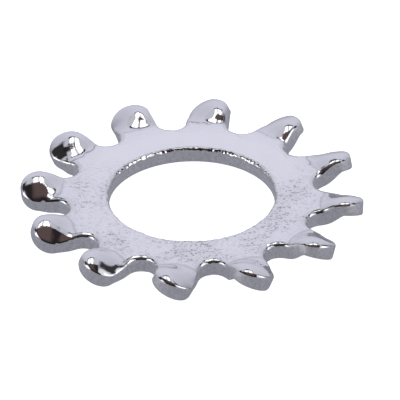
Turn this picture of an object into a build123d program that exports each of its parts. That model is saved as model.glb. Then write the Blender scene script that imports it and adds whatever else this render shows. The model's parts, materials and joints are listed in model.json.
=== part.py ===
"""External-tooth lock washer, stamped from sheet steel and twist-formed, for a No. 10 or M5 screw.

Millimetres.  +Z is the washer's axis, up out of the face whose outer edge is rolled.
The origin is on the axis, on the plane that the lowered tooth corners rest on.
"""
import os
from math import cos, pi, radians, sin, tan

from build123d import *

# Blank
bore_diameter = 5.03
root_diameter = 7.49            # circle that the bottoms of the gullets touch
tooth_length = 1.46             # from that circle to the tips, which makes 10.41 across the teeth
tooth_width = 1.265             # between the parallel flanks of one tooth
tip_rounding = 0.57             # length of the half-oval that ends a tooth
tooth_count = 12
sheet_thickness = 0.51
outer_die_roll = 0.21           # radius that the blanking punch leaves round the upper outer edge
bore_die_roll = 0.17            # the same round the lower bore edge: the bore is punched from below

# Twist forming
twist_angle = 28.0              # the anticlockwise corner of each tooth goes down
forming_lift = 0.14             # rise of the turned tooth's middle above the ring's middle
twist_stations = 5              # cross-sections that carry one tooth through its turn

# What follows from them
half_pitch = 180 / tooth_count
half_pitch_sine = sin(radians(half_pitch))
half_width = tooth_width / 2
half_thickness = sheet_thickness / 2
root_radius = root_diameter / 2
gullet_radius = (root_radius * half_pitch_sine - half_width) / (1 - half_pitch_sine)
gullet_distance = root_radius + gullet_radius               # from the axis to a gullet's centre
crease = gullet_distance * cos(radians(half_pitch))         # where the gullets leave the tooth
twist_end = root_radius + tooth_length - tip_rounding
turn = radians(twist_angle)
# The turned tooth's lower corner rests on z = 0, and that sets the height of the ring
ring_middle = half_width * sin(turn) + half_thickness * cos(turn) - forming_lift
# The roll is cut as two bevels that touch its round, 30 and 60 degrees down from the face
first_bevel_run = outer_die_roll * (1 - tan(radians(15)))
first_bevel_drop = first_bevel_run * tan(radians(30))
second_bevel = outer_die_roll * (tan(radians(30)) - tan(radians(15)))


def plane_across_tooth(share):
    """Plane across a tooth, facing outwards, at a share of the twist's length from 0 to 1."""
    # The turn starts sharply at the crease and dies away smoothly
    progress = sin(share * pi / 2)
    angle = turn * progress
    return Plane(
        origin=(crease + (twist_end - crease) * share, 0, ring_middle + forming_lift * progress),
        x_dir=(0, cos(angle), -sin(angle)),
        z_dir=(1, 0, 0),
    )


def roll_upper_edge(plate, up):
    """Roll the upper edge of a plate, except across the straight ends that meet a twist."""
    upper_face = plate.faces().sort_by(up)[-1]
    rim = upper_face.edges().filter_by(lambda edge: abs(edge.length - tooth_width) > 1e-6)
    shoulder_height = Plane(up).to_local_coords(rim[0].center()).Z - first_bevel_drop
    chamfer(rim, length=first_bevel_run, length2=first_bevel_drop, reference=upper_face)
    shoulder = plate.edges().filter_by_position(up, shoulder_height - 1e-4, shoulder_height + 1e-4)
    chamfer(shoulder, length=second_bevel)


# Outline of the ring round one tooth: half a gullet, the crease, half a gullet
gullet_offset = gullet_distance * half_pitch_sine
with BuildLine() as neck_outline:
    CenterArc((crease, -gullet_offset), gullet_radius, 90, 90 - half_pitch)
    Line((crease, -half_width), (crease, half_width))
    CenterArc((crease, gullet_offset), gullet_radius, -90, half_pitch - 90)

# Ring with the stubs of its teeth
with BuildPart() as ring:
    with BuildSketch(Plane.XY.offset(ring_middle - half_thickness)):
        with BuildLine():
            with PolarLocations(0, tooth_count):
                add(neck_outline.line)
        make_face()
    extrude(amount=sheet_thickness)
    roll_upper_edge(ring, Axis.Z)
    with Locations((0, 0, ring_middle)):
        Hole(radius=bore_diameter / 2)
    lower_edges = ring.edges().group_by(Axis.Z)[0]
    fillet(lower_edges.filter_by(GeomType.CIRCLE).sort_by(SortBy.LENGTH)[-1], radius=bore_die_roll)

# The twist that joins a stub to its nose
with BuildPart() as twist:
    for station in range(twist_stations):
        with BuildSketch(plane_across_tooth(station / (twist_stations - 1))) as section:
            Rectangle(tooth_width, sheet_thickness)
            upper_edge = section.edges().sort_by(Axis.Y)[-1]
            corners = upper_edge.vertices()
            chamfer(corners, length=first_bevel_run, length2=first_bevel_drop, reference=upper_edge)
            chamfer(section.vertices().group_by(Axis.Y)[-2], length=second_bevel)
    loft()

# The nose, flat again at the full angle
across_nose = plane_across_tooth(1)
along_nose = Plane(across_nose.origin, x_dir=across_nose.z_dir, z_dir=across_nose.y_dir)
with BuildPart() as nose:
    with BuildSketch(along_nose.offset(-half_thickness)):
        with BuildLine():
            oval = EllipticalCenterArc((0, 0), tip_rounding, half_width, -90, arc_size=180)
            Line(oval @ 1, oval @ 0)
        make_face()
    extrude(amount=sheet_thickness)
    roll_upper_edge(nose, Axis(along_nose.origin, along_nose.z_dir))

with BuildPart() as washer:
    add(ring.part)
    with PolarLocations(0, tooth_count):
        add([twist.part, nose.part])

washer.part.label = "toothed_lock_washer"
os.makedirs("parts", exist_ok=True)
export_step(washer.part, "parts/toothed_lock_washer.step")
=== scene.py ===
"""Studio scene of an external-tooth lock washer in bright plated spring steel.

The blank is modelled flat and in millimetres, its twelve teeth are turned in the forming die,
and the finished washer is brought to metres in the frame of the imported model.
"""
import json
from math import cos, degrees, pi, radians, sin

import bmesh
import bpy
import mathutils
import numpy as np
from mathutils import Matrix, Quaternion, Vector


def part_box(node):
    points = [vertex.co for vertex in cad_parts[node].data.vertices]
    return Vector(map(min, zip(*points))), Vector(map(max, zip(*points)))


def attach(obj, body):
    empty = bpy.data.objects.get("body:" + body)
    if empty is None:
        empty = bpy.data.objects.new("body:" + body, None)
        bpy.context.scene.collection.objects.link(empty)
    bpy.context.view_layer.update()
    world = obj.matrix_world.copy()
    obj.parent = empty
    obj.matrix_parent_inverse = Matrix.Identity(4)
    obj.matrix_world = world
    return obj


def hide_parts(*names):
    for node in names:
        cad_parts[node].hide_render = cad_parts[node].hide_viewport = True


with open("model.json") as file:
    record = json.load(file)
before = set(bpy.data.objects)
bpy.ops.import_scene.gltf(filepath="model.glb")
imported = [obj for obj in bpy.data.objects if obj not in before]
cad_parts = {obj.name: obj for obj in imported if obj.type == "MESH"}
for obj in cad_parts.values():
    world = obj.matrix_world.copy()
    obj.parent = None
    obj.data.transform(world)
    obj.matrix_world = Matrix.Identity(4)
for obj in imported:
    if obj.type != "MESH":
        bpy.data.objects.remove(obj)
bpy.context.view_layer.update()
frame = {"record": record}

# ---------------------------------------------------------------- sizes, in millimetres
metre = 1000
mount = {entry["name"]: entry for entry in frame["record"]["mounts"]}
bore_radius = mount["bore"]["dims"]["r_mm"]
face_top = mount["upper_face"]["pos_m"][2] * metre
face_bottom = mount["lower_face"]["pos_m"][2] * metre
tip_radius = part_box("toothed_lock_washer")[1].x * metre

# Blank
root_radius = 3.745             # circle that the bottoms of the gullets touch
tooth_width = 1.265
tip_rounding = 0.57             # length of the half-oval that ends a tooth
tooth_count = 12
outer_die_roll = 0.09
bore_die_roll = 0.13
bore_breakout = 0.02            # the bore's lower edge is smaller in radius by this
bore_rounding = 0.15            # of the upper bore edge, where the slug tore off
land_radius = 3.42              # flat ring, inside the reach of the gullets' rolled edges

# How ragged the torn bore edge is: its depth, and its waves for each millimetre
tear_depth = 0.023
tear_coarse = 2.2
tear_fine = 11.0

# Sloping strip inside the rolled edge of the gullets
edge_slope = 0.364
edge_reach = 0.17
edge_softness = 0.045

# Turn of the teeth
twist_angle = radians(26.5)     # the anticlockwise corner of each tooth goes down
forming_lift = 0.178            # rise of the turned tooth's middle above the ring's middle
crease_apex = 3.952             # from the axis to the crease on a tooth's middle line
crease_bow = 0.35               # growth of that distance with the square of the way across
crease_softness = 0.164
twist_end = 4.703
late_turn = 0.44                # share of the turn that starts slowly after the crease
sheet_stiffness = 0.9           # share of its thickness that stays square to the bends

# Crown of the teeth
tooth_crown = 0.117             # fall of a tooth's top from its middle to its flanks
crown_power = 2.04
crown_reach = 1.2               # share of the way to the outline at which the fall stops
nose_crown_share = 0.77         # fall towards the tip, as a share of that to the flanks
nose_wear = 0.020               # rounding of the lower edge round a tooth's tip
wear_fade = 0.3                 # length before the nose in which that rounding sets in
under_swell = 0.050             # the pressed metal swells the underside of a tooth

# Blunt cone with a round top, to which the die presses the raised corner of a tooth
cone_along = 4.68
cone_across = -0.29
cone_height = 0.283             # above the flat ring
cone_slope = 0.57
cone_rounding = 0.28
cone_blend = 0.016

# Where the dies have rubbed the plating fully bright
bright_turn = 0.12              # share of a tooth's turn
bright_roll = 0.04              # depth below the upper face

# What follows from them
sheet_thickness = face_top - face_bottom
face_middle = (face_top + face_bottom) / 2
half_width = tooth_width / 2
half_pitch = pi / tooth_count
gullet_radius = (root_radius * sin(half_pitch) - half_width) / (1 - sin(half_pitch))
gullet_distance = root_radius + gullet_radius
gullet_offset = gullet_distance * sin(half_pitch)
flank_start = gullet_distance * cos(half_pitch)
nose_start = tip_radius - tip_rounding
torn_reach = 2 * bore_rounding

# Where the camera looks from
view_turn = radians(-83.256)    # azimuth round the washer's axis, from +X
view_rise = radians(33.00)
view_roll = radians(0.822)
grain_turn = -view_turn - pi / 2    # brings the grain's +Y to point away from the camera

# How finely the blank is divided
oval_segments = 24
flank_segments = 9
gullet_segments = 14
roll_segments = 9
rounding_segments = 7
wall_rows = 6
tooth_rows = 24
outline_points = 2 * tooth_count * (oval_segments // 2 + flank_segments + gullet_segments)
upper_land_radii = (3.25, 3.05, 2.85, 2.70, 2.62, bore_radius)
lower_land_radii = (3.20, 2.95, 2.72, bore_radius)

along_axis = (0, 0, 1)
on_axis = (0, 0, 0)
touching = 1e-4                 # points nearer than this are one
wall_tilt = 0.5                 # the normal of a wall rises or falls by less than this
sharp_bend = radians(40)        # edges that bend more than this stay sharp


# ---------------------------------------------------------------- working in edit mode
def start_piece(name):
    """Name the primitive that was just added and go into edit mode with nothing selected."""
    piece = bpy.context.active_object
    piece.name = name
    piece.data.name = name
    bpy.ops.object.mode_set(mode="EDIT")
    bpy.ops.mesh.select_all(action="DESELECT")
    return piece


def choose(piece, kind, test):
    """Select exactly the verts, edges or faces of the edited mesh that pass a test."""
    bpy.ops.mesh.select_all(action="DESELECT")
    bpy.ops.mesh.select_mode(type={"verts": "VERT", "edges": "EDGE", "faces": "FACE"}[kind])
    mesh = bmesh.from_edit_mesh(piece.data)
    for element in getattr(mesh, kind):
        if test(element):
            element.select_set(True)
    mesh.select_flush_mode()
    bmesh.update_edit_mesh(piece.data)


def near(a, b):
    return abs(a - b) < touching


def all_at(z):
    """Test for an edge that lies wholly at one height."""
    return lambda edge: all(near(vert.co.z, z) for vert in edge.verts)


def on_circle(radius, z):
    """Test for an edge on a level circle round the washer's axis."""
    return lambda edge: all(
        near(vert.co.z, z) and near(vert.co.xy.length, radius) for vert in edge.verts
    )


def crossing_circle(radius, z):
    """Test for an edge at one height that ends on a circle round the axis and leaves it."""
    return lambda edge: all_at(z)(edge) and (
        near(edge.verts[0].co.xy.length, radius) != near(edge.verts[1].co.xy.length, radius)
    )


def upright(edge):
    """Test for an edge that stands square to the sheet."""
    low, high = edge.verts
    return (low.co.xy - high.co.xy).length < touching and abs(low.co.z - high.co.z) > touching


def in_pitch(number, z):
    """Test for an edge at one height, inside the pitch of one tooth and not along its border."""
    middle = Vector((cos(2 * number * half_pitch), sin(2 * number * half_pitch)))
    return lambda edge: all_at(z)(edge) and (
        abs(middle.angle_signed((edge.verts[0].co + edge.verts[1].co).xy)) < half_pitch - touching
    )


def in_rounding(face):
    """Test for a face of the torn rounding of the upper bore edge."""
    middle = face.calc_center_median()
    return middle.z > face_top - bore_rounding and middle.xy.length < bore_radius + bore_rounding


# ---------------------------------------------------------------- the blank
def draw_tooth_outline():
    """Outline of one pitch at the lower face: half a gullet, a tooth on +X, half a gullet."""
    bpy.ops.mesh.primitive_circle_add(
        vertices=2 * oval_segments, radius=half_width, location=(nose_start, 0, face_bottom)
    )
    bpy.ops.object.transform_apply(location=True)
    piece = start_piece("toothed_lock_washer_dressed")
    choose(piece, "verts", lambda vert: vert.co.x < nose_start - touching)
    bpy.ops.mesh.delete(type="VERT")
    bpy.ops.mesh.select_all(action="SELECT")
    bpy.ops.transform.resize(
        value=(tip_rounding / half_width, 1, 1), center_override=(nose_start, 0, face_bottom)
    )
    # Flanks
    choose(piece, "verts", lambda vert: near(vert.co.x, nose_start))
    bpy.ops.mesh.extrude_region_move(
        TRANSFORM_OT_translate={"value": (flank_start - nose_start, 0, 0)}
    )
    choose(
        piece, "edges",
        lambda edge: all(vert.co.x < nose_start + touching for vert in edge.verts),
    )
    bpy.ops.mesh.subdivide(number_cuts=flank_segments - 1)
    # Half gullets
    for side in (-1, 1):
        choose(
            piece, "verts",
            lambda vert: near(vert.co.x, flank_start) and near(vert.co.y, side * half_width),
        )
        bpy.ops.mesh.spin(
            steps=gullet_segments, angle=side * (pi / 2 - half_pitch), axis=along_axis,
            center=(flank_start, side * gullet_offset, face_bottom),
        )
    return piece


def cut_blank():
    """Flat blank without its two faces: twelve pitches of outline, the wall and the outer roll."""
    piece = draw_tooth_outline()
    bpy.ops.mesh.select_mode(type="VERT")
    bpy.ops.mesh.select_all(action="SELECT")
    for _ in range(tooth_count - 1):
        bpy.ops.mesh.duplicate()
        bpy.ops.transform.rotate(
            value=2 * half_pitch, orient_axis="Z", center_override=on_axis
        )
    bpy.ops.mesh.select_all(action="SELECT")
    bpy.ops.mesh.remove_doubles(threshold=touching)
    bpy.ops.mesh.edge_face_add()
    bpy.ops.mesh.extrude_region_move(TRANSFORM_OT_translate={"value": (0, 0, sheet_thickness)})
    choose(piece, "edges", all_at(face_top))
    bpy.ops.mesh.bevel(offset=outer_die_roll, segments=roll_segments, profile=0.5)
    # The two faces give way to rows that follow the outline and the bore
    choose(piece, "faces", lambda face: len(face.verts) > 4)
    bpy.ops.mesh.delete(type="ONLY_FACE")
    return piece


def lay_faces(piece):
    """Rows of faces from the outline inwards to the bore, on both sides of the sheet."""
    for z, radii in ((face_top, upper_land_radii), (face_bottom, lower_land_radii)):
        bpy.ops.mesh.select_all(action="DESELECT")
        bpy.ops.mesh.primitive_circle_add(
            vertices=outline_points, radius=land_radius, location=(0, 0, z)
        )
        for number in range(tooth_count):
            choose(piece, "edges", in_pitch(number, z))
            bpy.ops.mesh.bridge_edge_loops()
        choose(piece, "edges", crossing_circle(land_radius, z))
        bpy.ops.mesh.subdivide(number_cuts=tooth_rows)
        choose(piece, "edges", on_circle(land_radius, z))
        radius = land_radius
        for next_radius in radii:
            bpy.ops.mesh.extrude_region_move()
            share = next_radius / radius
            bpy.ops.transform.resize(value=(share, share, 1), center_override=(0, 0, z))
            radius = next_radius


def punch_bore(piece):
    """Wall of the bore with its two rounded edges, and rows up this wall and the outer one."""
    upper_rim = on_circle(bore_radius, face_top)
    lower_rim = on_circle(bore_radius, face_bottom)
    choose(piece, "edges", lambda edge: upper_rim(edge) or lower_rim(edge))
    bpy.ops.mesh.bridge_edge_loops()
    choose(piece, "edges", lower_rim)
    bpy.ops.mesh.bevel(offset=bore_die_roll, segments=roll_segments, profile=0.5)
    choose(piece, "edges", upper_rim)
    bpy.ops.mesh.bevel(offset=bore_rounding, segments=rounding_segments, profile=0.5)
    choose(piece, "edges", upright)
    bpy.ops.mesh.subdivide(number_cuts=wall_rows - 1)
    bpy.ops.mesh.select_all(action="SELECT")
    bpy.ops.mesh.normals_make_consistent(inside=False)


def finish_faces(piece):
    """Plated faces and rolls in the first slot, the sheared walls in the second."""
    piece.data.materials.append(plated_face())
    piece.data.materials.append(sheared_wall())
    choose(piece, "faces", lambda face: abs(face.normal.z) < wall_tilt and not in_rounding(face))
    piece.active_material_index = 1
    bpy.ops.object.material_slot_assign()
    bpy.ops.object.mode_set(mode="OBJECT")


def tear_bore_edge(piece):
    """Taper the bore as the slug's breakout does, and make its upper edge ragged."""
    # Places in the noise that are far enough apart to be unlike each other
    for_shift = Vector((7, 0, 0))
    for_rise = Vector((0, 7, 0))
    for vert in piece.data.vertices:
        radius = vert.co.xy.length
        if radius > bore_radius + torn_reach:
            continue
        outward = vert.co.xy.normalized()
        depth = (face_top - vert.co.z) / sheet_thickness
        shift = -bore_breakout * depth
        rise = 0
        from_edge = max(face_top - vert.co.z, radius - bore_radius)
        if from_edge < torn_reach:
            near_edge = 1 - from_edge / torn_reach
            coarse = mathutils.noise.noise(vert.co * tear_coarse)
            fine = mathutils.noise.noise(vert.co * tear_fine + for_shift)
            shift += near_edge * tear_depth * (coarse + fine)
            fine = mathutils.noise.noise(vert.co * tear_fine + for_rise)
            rise = near_edge * tear_depth * (abs(coarse) + fine)
        vert.co.xy += outward * shift
        vert.co.z += rise


# ---------------------------------------------------------------- the forming die
def soft_ramp(distance, softness):
    """Nothing below zero and the distance itself above it, with a soft corner between them."""
    return (distance + np.hypot(distance, softness)) / 2


def tooth_places(points):
    """Angle of the tooth nearest to each point, and the point's place along and across it."""
    angle = np.round(np.arctan2(points[:, 1], points[:, 0]) / (2 * half_pitch)) * 2 * half_pitch
    along = points[:, 0] * np.cos(angle) + points[:, 1] * np.sin(angle)
    across = points[:, 1] * np.cos(angle) - points[:, 0] * np.sin(angle)
    return angle, along, across


def distance_to_wall(along, across):
    """Distance from the round of a gullet, or from the flanks further out."""
    from_gullet = np.hypot(along - flank_start, np.abs(across) - gullet_offset) - gullet_radius
    return np.where(along < flank_start, from_gullet, half_width - np.abs(across))


def wear_nose(along, across, heights):
    """Round the lower edge off towards the tip."""
    from_edge = np.clip((heights - face_bottom) / nose_wear, 0, 1)
    inset = nose_wear * (1 - np.sqrt(1 - (1 - from_edge) ** 2))
    inset = inset * np.clip((along - nose_start) / wear_fade + 1, 0, 1) * (along > land_radius)
    worn_along = nose_start + (along - nose_start) * (1 - inset / tip_rounding)
    return np.where(along > nose_start, worn_along, along), across * (1 - inset / half_width)


def twist_reached(along, across):
    """Way past the crease, share of the turn reached there, and its growth for each millimetre."""
    # The crease bows towards the bore; from there the turn grows, and levels off before the tip
    crease = crease_apex + crease_bow * np.clip(across, -half_width, half_width) ** 2
    length = twist_end - crease
    past_crease = along - crease
    on_tooth = along > land_radius
    eased = np.where(on_tooth, soft_ramp(past_crease, crease_softness), 0)
    easing = (1 + past_crease / np.hypot(past_crease, crease_softness)) / 2
    easing = np.where(on_tooth & (eased < length), easing, 0)
    share = np.clip(eased / length, 0, 1)
    early = np.sin(share * pi / 2)
    late = (3 - 2 * share) * share**2
    turned = (1 - late_turn) * early + late_turn * late
    growth = (1 - late_turn) * np.cos(share * pi / 2) * pi / 2 + late_turn * 6 * share * (1 - share)
    return past_crease, turned, growth * easing / length


def crown_fall(along, across, turned):
    """Fall of a tooth's crowned top towards its flanks and its tip."""
    sideways = np.clip(np.abs(across) / half_width, 0, crown_reach)
    forwards = np.clip((along - nose_start) / tip_rounding, 0, crown_reach)
    shape = sideways**crown_power + nose_crown_share * forwards**crown_power
    return tooth_crown * turned * shape


def cone_press(along, across, turned, top):
    """Depth to which the cone in the die presses a tooth's top."""
    from_cone = np.hypot(along - cone_along, across - cone_across)
    cone = cone_height - cone_slope * (np.hypot(from_cone, cone_rounding) - cone_rounding)
    return turned * soft_ramp(top - cone, cone_blend)


def note(piece, name, values):
    """Keep one value for each point, for the plating to read."""
    attribute = piece.data.attributes.new(name, "FLOAT", "POINT")
    attribute.data.foreach_set("value", values.astype(np.float32))


def form_teeth(piece):
    """Turn each tooth about its own middle line and press its top, as the forming die does."""
    points = np.empty(3 * len(piece.data.vertices))
    piece.data.vertices.foreach_get("co", points)
    points = points.reshape(-1, 3)
    heights = points[:, 2]
    tooth_angle, along, across = tooth_places(points)
    past_edge = edge_reach - distance_to_wall(along, across)
    along, across = wear_nose(along, across, heights)
    past_crease, turned, growth = twist_reached(along, across)
    angle = twist_angle * turned

    # The top is crowned, falls to the gullets' edges and is pressed; the underside swells
    above = heights - face_middle
    share_up = above / sheet_thickness + 0.5
    fall = crown_fall(along, across, turned)
    fall = fall + edge_slope * (1 - turned) * soft_ramp(past_edge, edge_softness)
    top = forming_lift * turned - across * np.sin(angle)
    top = top - (sheet_thickness / 2) * (1 - np.cos(angle)) - fall
    pressed = cone_press(along, across, turned, top)
    above = above - (fall + pressed / np.cos(angle)) * share_up
    above = above - under_swell * turned * (1 - share_up)

    # The sheet keeps its thickness square to its bent middle surface
    rise = (forming_lift - across * np.cos(angle) * twist_angle) * growth
    stretch = np.sqrt(1 + rise**2)
    along = along - sheet_stiffness * above * rise / stretch
    thick = above * (1 - sheet_stiffness + sheet_stiffness / stretch)
    turned_across = across * np.cos(angle) + thick * np.sin(angle)
    turned_height = thick * np.cos(angle) - across * np.sin(angle) + forming_lift * turned
    formed = np.stack((
        along * np.cos(tooth_angle) - turned_across * np.sin(tooth_angle),
        along * np.sin(tooth_angle) + turned_across * np.cos(tooth_angle),
        turned_height + face_middle,
    ), axis=1)
    piece.data.vertices.foreach_set("co", formed.ravel())

    # What the dies have rubbed bright: the teeth, the roll and the strip inside it. The plating
    # reads this for its roughness and for a painted darker shade.
    rolled = (face_top - heights) / bright_roll
    sloping = (0.5 + past_edge / edge_softness) * (share_up > 0.5)
    polish = np.maximum(np.maximum(turned / bright_turn, rolled), sloping)
    note(piece, "polish", np.clip(polish, 0, 1))
    note(piece, "past_crease", past_crease)
    piece.data.update()


def to_metres(piece):
    """Bring the finished piece to metres and shade its rounds smooth."""
    piece.scale = (1 / metre, 1 / metre, 1 / metre)
    bpy.ops.object.select_all(action="DESELECT")
    piece.select_set(True)
    bpy.context.view_layer.objects.active = piece
    bpy.ops.object.transform_apply(scale=True)
    bpy.ops.object.shade_smooth_by_angle(angle=sharp_bend)


# ---------------------------------------------------------------- nodes
# The Mix node's sockets for colours go by number, because their names come more than once
first_color = 6
second_color = 7
mixed_color = 2

relief_depth = 0.000006         # metres, of a bump at full strength


class Nodes:
    """Short hands for adding nodes to one tree and for sums with their outputs."""

    def __init__(self, tree):
        self.tree = tree

    def add(self, kind, **settings):
        node = self.tree.nodes.new("ShaderNode" + kind)
        for name, value in settings.items():
            setattr(node, name, value)
        return node

    def give(self, socket, value):
        """Join an output to a socket, or set the socket to a plain value."""
        if isinstance(value, bpy.types.NodeSocket):
            self.tree.links.new(value, socket)
        else:
            socket.default_value = value

    def math(self, operation, *values):
        node = self.add("Math", operation=operation)
        for socket, value in zip(node.inputs, values):
            self.give(socket, value)
        return node.outputs["Value"]

    def times(self, first, second):
        return self.math("MULTIPLY", first, second)

    def mix(self, share, first, second, name="Mix"):
        """Colour between a first one at share 0 and a second one at share 1."""
        node = self.add("Mix", data_type="RGBA", name=name)
        self.give(node.inputs["Factor"], share)
        self.give(node.inputs[first_color], first)
        self.give(node.inputs[second_color], second)
        return node.outputs[mixed_color]

    def window(self, value, marks, result=(0.0, 1.0)):
        """A value's stretch between two marks, spread smoothly over a range of results."""
        node = self.add("MapRange", interpolation_type="SMOOTHSTEP")
        node.inputs["From Min"].default_value, node.inputs["From Max"].default_value = marks
        node.inputs["To Min"].default_value, node.inputs["To Max"].default_value = result
        self.give(node.inputs["Value"], value)
        return node.outputs["Result"]

    def noise(self, place, scale, detail=2.0, roughness=0.5):
        node = self.add("TexNoise")
        node.inputs["Scale"].default_value = scale
        node.inputs["Detail"].default_value = detail
        node.inputs["Roughness"].default_value = roughness
        self.give(node.inputs["Vector"], place)
        return node.outputs["Fac"]

    def noted(self, name):
        """Value that was noted for each point of the piece."""
        return self.add("Attribute", attribute_name=name).outputs["Fac"]

    def millimetres(self, turn=0.0, stretch=(1, 1, 1)):
        """Place on the piece in millimetres, turned about its axis and stretched."""
        mapping = self.add("Mapping")
        mapping.inputs["Rotation"].default_value = (0, 0, turn)
        mapping.inputs["Scale"].default_value = [metre * share for share in stretch]
        self.give(mapping.inputs["Vector"], self.add("TexCoord").outputs["Object"])
        return mapping.outputs["Vector"]

    def bump(self, shader, height, strength):
        """Relief of the surface, in the shader's normal."""
        node = self.add("Bump")
        node.inputs["Distance"].default_value = relief_depth
        node.inputs["Strength"].default_value = strength
        self.give(node.inputs["Height"], height)
        self.give(shader.inputs["Normal"], node.outputs["Normal"])


# ---------------------------------------------------------------- materials
satin_plating = (0.975, 0.975, 1.0, 1)
polished_plating_shade = (0.81, 0.81, 0.84, 1)
speckled_plating = (0.80, 0.80, 0.83, 1)
pit_shade_and_grain_grey = (0.44, 0.44, 0.47, 1)
crease_band_shade_grey = (0.55, 0.55, 0.58, 1)
crease_line_shade_grey = (0.20, 0.20, 0.22, 1)
torn_grey = (0.72, 0.72, 0.76, 1)
burnished_grey = (0.92, 0.92, 0.96, 1)
paper_white = (0.9, 0.9, 0.92, 1)


def new_material(name):
    material = bpy.data.materials.new(name)
    material.use_nodes = True
    return material, material.node_tree.nodes["Principled BSDF"]


def ring_grain(nodes, spot, far, polish):
    """Pits and short drawn grains of the flat ring, the pits darkened with painted shade, and the
    fine speckle round them.
    """
    # The grain fades towards the side of the ring away from the camera, and is patchy elsewhere
    far_fade = nodes.window(far, (-0.6, 2.4), (1.0, 0.05))
    patches = nodes.window(nodes.noise(spot, scale=1.1), (0.38, 0.62), (0.3, 1.0))
    presence = nodes.times(far_fade, patches)
    presence = nodes.times(presence, nodes.window(polish, (0, 1), (1.0, 0.12)))
    grain_way = nodes.millimetres(turn=grain_turn, stretch=(0.55, 1, 1))
    pits = nodes.window(nodes.noise(spot, scale=13.0, roughness=0.6), (0.57, 0.68))
    drawn = nodes.window(nodes.noise(grain_way, scale=15.0, roughness=0.6), (0.55, 0.66))
    # Painted shade in the pits: their grey stands in for the shade inside them; the drawn grains
    # share this grey
    marks = nodes.times(nodes.math("MAXIMUM", pits, drawn), presence)
    speckle = nodes.times(nodes.noise(spot, scale=24.0, detail=1.0), presence)
    return marks, speckle


def crease_lines(nodes, spot, far):
    """Painted shade along a tooth's crease: a fine dark line, also pressed in as a groove, and a
    soft dark band round it.
    """
    sway = nodes.noise(spot, scale=3.0, detail=3.0, roughness=0.6)
    sway = nodes.window(sway, (0.3, 0.7), (-0.05, 0.05))
    off_line = nodes.math("ABSOLUTE", nodes.math("ADD", nodes.noted("past_crease"), sway))
    uneven = nodes.noise(spot, scale=1.6, detail=3.0, roughness=0.7)
    uneven = nodes.window(uneven, (0.46, 0.6), (0.12, 1.0))
    groove_and_shade_line = nodes.times(nodes.window(off_line, (0.01, 0.05), (1.0, 0.0)), uneven)
    # The painted dark line is strongest on the side of the washer away from the camera
    groove_and_shade_line = nodes.times(groove_and_shade_line, nodes.window(far, (-1.0, 2.5), (0.1, 0.6)))
    crease_band_shade = nodes.window(off_line, (0.0, 0.11), (0.55, 0.0))
    # The painted dark band round the crease is strongest on the side nearer the camera
    crease_band_shade = nodes.times(crease_band_shade, nodes.window(far, (-1.0, 2.5), (1.0, 0.3)))
    return groove_and_shade_line, crease_band_shade


def plated_face():
    """Satin plating with pits and drawn grains, mirror-bright where the dies pressed it, with
    painted shade in the pits, along the creases and over the pressed zones.
    """
    material, shader = new_material("plated_face")
    nodes = Nodes(material.node_tree)
    shader.inputs["Metallic"].default_value = 1
    polish = nodes.noted("polish")
    plain = nodes.math("SUBTRACT", 1.0, polish)
    spot = nodes.millimetres()
    from_camera = nodes.add("SeparateXYZ")
    nodes.give(from_camera.inputs["Vector"], nodes.millimetres(turn=grain_turn))
    far = from_camera.outputs["Y"]
    marks, speckle = ring_grain(nodes, spot, far, polish)
    groove_and_shade_line, crease_band_shade = crease_lines(nodes, spot, far)

    # Painted shade: the pressed, polished zones get a darker tone than the satin ring, though they
    # are the same plating
    shade = nodes.mix(polish, satin_plating, polished_plating_shade)
    shade = nodes.mix(speckle, shade, speckled_plating)
    # Painted shade in the pits, and the grey of the drawn grains
    shade = nodes.mix(marks, shade, pit_shade_and_grain_grey)
    # Painted shade along the crease: a soft dark band and a fine dark line
    shade = nodes.mix(crease_band_shade, shade, crease_band_shade_grey)
    shade = nodes.mix(nodes.times(groove_and_shade_line, 0.8), shade, crease_line_shade_grey)
    nodes.give(shader.inputs["Base Color"], shade)

    rough = nodes.window(polish, (0, 1), (0.30, 0.05))
    rough = nodes.math("ADD", rough, nodes.times(marks, 0.15))
    nodes.give(shader.inputs["Roughness"], rough)

    skin = nodes.noise(spot, scale=16.0, detail=3.0, roughness=0.6)
    skin = nodes.times(skin, nodes.window(plain, (0, 1), (0.06, 0.4)))
    dents = nodes.noise(spot, scale=5.0, detail=1.0)
    dents = nodes.times(dents, nodes.window(polish, (0, 1), (0, 0.6)))
    relief = nodes.math("ADD", skin, dents)
    relief = nodes.math("SUBTRACT", relief, nodes.times(marks, 0.6))
    relief = nodes.math("SUBTRACT", relief, groove_and_shade_line)
    nodes.bump(shader, relief, strength=1.0)
    return material


def sheared_wall():
    """Dull grey wall that the punch burnished and tore."""
    material, shader = new_material("sheared_wall")
    nodes = Nodes(material.node_tree)
    shader.inputs["Metallic"].default_value = 1
    grit = nodes.noise(nodes.millimetres(), scale=14.0, detail=3.0, roughness=0.6)
    upright_lines = nodes.millimetres(stretch=(1, 1, 0.4))
    torn = nodes.noise(upright_lines, scale=9.0, roughness=0.6)
    tone = nodes.math("ADD", nodes.times(grit, 0.7), nodes.times(torn, 0.3))
    shade = nodes.mix(nodes.window(tone, (0.3, 0.7)), torn_grey, burnished_grey)
    nodes.give(shader.inputs["Base Color"], shade)
    nodes.give(shader.inputs["Roughness"], nodes.window(tone, (0.3, 0.7), (0.66, 0.54)))
    nodes.bump(shader, tone, strength=0.4)
    return material


# ---------------------------------------------------------------- the studio
camera_distance = 0.4573        # metres
# Middle and radius of the bore's mouth in the rendered picture, in pixels
picture_width = 400
mouth_x = 191.856
mouth_y = 193.711
mouth_radius = 83.35

floor_size = 6                  # metres

studio_air = (0.31, 0.31, 0.345, 1)
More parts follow.
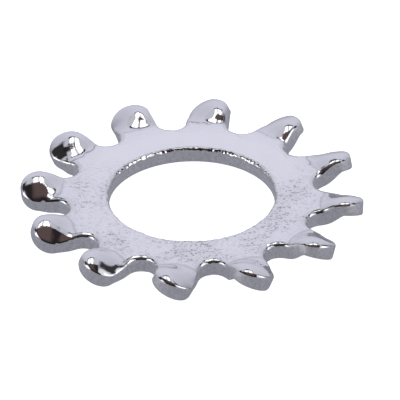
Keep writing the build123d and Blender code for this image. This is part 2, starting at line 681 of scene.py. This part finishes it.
# Name, range over, range aside, softness of the border, colour. Both ranges are in degrees: over
# goes from the horizon behind the washer (0) past the zenith (90) to the horizon behind the camera
# (180), and aside is to the right of that arc.
studio_panels = (
    ("backdrop", (-12, 80), (-46, 46), 13, (0.60, 0.60, 0.68)),
    ("backdrop_middle", (8, 80), (-24, 24), 12, (0.70, 0.70, 0.80)),
    ("left_side", (62, 148), (-90, -60), 5, (0.80, 0.80, 0.83)),
    ("right_side", (70, 142), (56, 90), 8, (0.55, 0.55, 0.58)),
    ("left_glow", (88, 138), (-62, -34), 6, (0.40, 0.40, 0.43)),
    ("right_glow", (84, 138), (28, 64), 4, (0.85, 0.85, 0.88)),
    ("ceiling", (60, 84), (-28, 28), 2, (0.60, 0.60, 0.66)),
    ("left_flag", (65, 92), (-56, -27), 3, (0.03, 0.03, 0.03)),
    ("right_flag", (64, 82), (28, 54), 3, (0.04, 0.04, 0.042)),
    ("left_light", (97, 135), (-80, -41), 2, (1.8, 1.8, 1.8)),
    ("right_light", (92, 124), (39, 71), 2, (1.8, 1.8, 1.8)),
    ("ceiling_gap", (80, 150), (-31, 27), 1.5, (0.022, 0.018, 0.019)),
    ("ceiling_gap_middle", (78, 114), (-16, 18), 5, (0.11, 0.076, 0.071)),
    ("backdrop_top", (61.6, 66.3), (-16.5, 16.5), 0.8, (0.03, 0.03, 0.03)),
    ("left_pane", (66, 80.5), (-13.5, -2.1), 0.5, (1.8, 1.8, 1.8)),
    ("right_pane", (66, 80.5), (2.1, 13.5), 0.5, (1.8, 1.8, 1.8)),
)


def towards(azimuth, elevation):
    """Direction in degrees right of the camera's line of sight, and above the horizon."""
    turn = view_turn + pi - radians(azimuth)
    rise = radians(elevation)
    return Vector((cos(turn) * cos(rise), sin(turn) * cos(rise), sin(rise)))


def add_camera():
    """Camera that puts the bore's mouth at its place in the rendered picture."""
    bore_metres = bore_radius / metre
    camera_data = bpy.data.cameras.new("camera")
    camera_data.lens = (
        camera_data.sensor_width * mouth_radius * camera_distance / bore_metres / picture_width
    )
    camera_data.clip_start = 0.01
    camera_data.clip_end = 10
    camera = bpy.data.objects.new("camera", camera_data)
    bpy.context.scene.collection.objects.link(camera)
    back = Vector((
        cos(view_turn) * cos(view_rise), sin(view_turn) * cos(view_rise), sin(view_rise)
    ))
    right = Vector((-sin(view_turn), cos(view_turn), 0))
    up = back.cross(right)
    pixel = bore_metres / mouth_radius
    picture_middle = picture_width / 2
    mouth = Vector((0, 0, face_top / metre))
    aim = (
        mouth + right * (picture_middle - mouth_x) * pixel
        - up * (picture_middle - mouth_y) * pixel
    )
    camera.location = mouth + back * camera_distance
    look = (aim - camera.location).to_track_quat("-Z", "Y")
    camera.rotation_mode = "QUATERNION"
    camera.rotation_quaternion = Quaternion(aim - camera.location, view_roll) @ look
    bpy.context.scene.camera = camera


def add_floor():
    """White paper under the washer, lit evenly."""
    bpy.ops.mesh.primitive_plane_add(size=floor_size)
    floor = bpy.context.active_object
    floor.name = "floor"
    material, shader = new_material("floor_paper")
    shader.inputs["Base Color"].default_value = paper_white
    shader.inputs["Roughness"].default_value = 0.9
    shader.inputs["Emission Color"].default_value = (1, 1, 1, 1)
    shader.inputs["Emission Strength"].default_value = 1.0
    floor.data.materials.append(material)
    # The washer mirrors the studio's dim air instead of the lit paper
    floor.visible_glossy = False


def add_world():
    """Studio round the washer: backdrop, ceiling with a dark gap, flags, side lights and panes."""
    world = bpy.data.worlds.new("studio")
    bpy.context.scene.world = world
    world.use_nodes = True
    nodes = Nodes(world.node_tree)
    place = nodes.add("TexCoord").outputs["Generated"]

    def along(direction):
        dot = nodes.add("VectorMath", operation="DOT_PRODUCT")
        dot.inputs[1].default_value = direction
        nodes.give(dot.inputs[0], place)
        return dot.outputs["Value"]

    back = along(towards(0, 0))
    right = along(towards(90, 0))
    up = along(Vector((0, 0, 1)))
    over = nodes.times(nodes.math("ARCTAN2", up, back), degrees(1))
    aside = nodes.times(nodes.math("ARCSINE", right), degrees(1))

    def between(value, ends, soft):
        """One between two ends, fading to nothing outside."""
        low, high = ends
        rise = nodes.window(value, (low - soft, low + soft))
        fall = nodes.window(value, (high - soft, high + soft), (1.0, 0.0))
        return nodes.times(rise, fall)

    shade = studio_air
    for name, over_range, aside_range, soft, colour in studio_panels:
        share = nodes.times(between(over, over_range, soft), between(aside, aside_range, soft))
        shade = nodes.mix(share, shade, (*colour, 1), name)
    nodes.give(world.node_tree.nodes["Background"].inputs["Color"], shade)


# ---------------------------------------------------------------- the washer and its studio
washer = cut_blank()
lay_faces(washer)
punch_bore(washer)
finish_faces(washer)
tear_bore_edge(washer)
form_teeth(washer)
to_metres(washer)
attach(washer, "root")
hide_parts("toothed_lock_washer")

add_camera()
add_floor()
add_world()
bpy.context.scene.view_settings.view_transform = "Standard"
